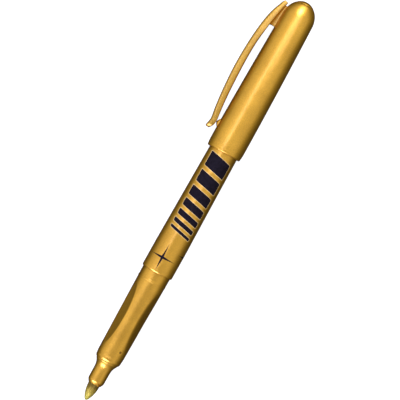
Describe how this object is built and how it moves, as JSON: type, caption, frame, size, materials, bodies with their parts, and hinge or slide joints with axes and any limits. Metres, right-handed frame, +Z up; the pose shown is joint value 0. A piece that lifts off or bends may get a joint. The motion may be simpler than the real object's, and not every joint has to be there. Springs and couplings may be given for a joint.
{
  "type": "capped felt-tip pen",
  "caption": "Slim fibre-tip pen with a tapered tube, scooped finger grip, bullet nib and a domed clip cap pushed onto its tail.",
  "frame": {"origin": "on the desk under the middle of the pen's box, as it lies with its clip touching the desk", "axes": "+X along the pen's axis from the nib to the cap's domed end, +Y level, towards the clip's side, +Z up"},
  "size_m": [0.1508, 0.0168, 0.0125],
  "materials": {
    "gold_plastic": "satin metallic gold pigment moulded in",
    "nib_fibre": "dense sintered fibre, ink stained",
    "reservoir_fibre": "bonded fibre rod",
    "clear_film": "thin film",
    "liner_plastic": "natural polyethylene",
    "print_black": "printed ink"
  },
  "bodies": {
    "pen_body": {"barrel_tube": "gold_plastic", "barrel_end_plug": "gold_plastic", "grip_section": "gold_plastic", "nib_holder": "gold_plastic", "nib": "nib_fibre", "ink_reservoir": "reservoir_fibre", "reservoir_wrap": "clear_film"},
    "cap": {"cap_shell": "gold_plastic", "cap_end_plug": "gold_plastic", "cap_liner": "liner_plastic"},
    "clip": {"clip_arm": "gold_plastic"}
  },
  "joints": [
    {"name": "cap_slide", "type": "slide", "parent": "pen_body", "child": "cap", "axis": [1, 0, 0], "range_m": [0, 0.04]},
    {"name": "clip_flex", "type": "hinge", "parent": "cap", "child": "clip", "pos_m": [0.06308, 0.00672, 0.00215], "axis": [0, -0.4179, -0.9085], "range_deg": [0, 4], "stiffness_Nm_per_rad": 0.8}
  ]
}
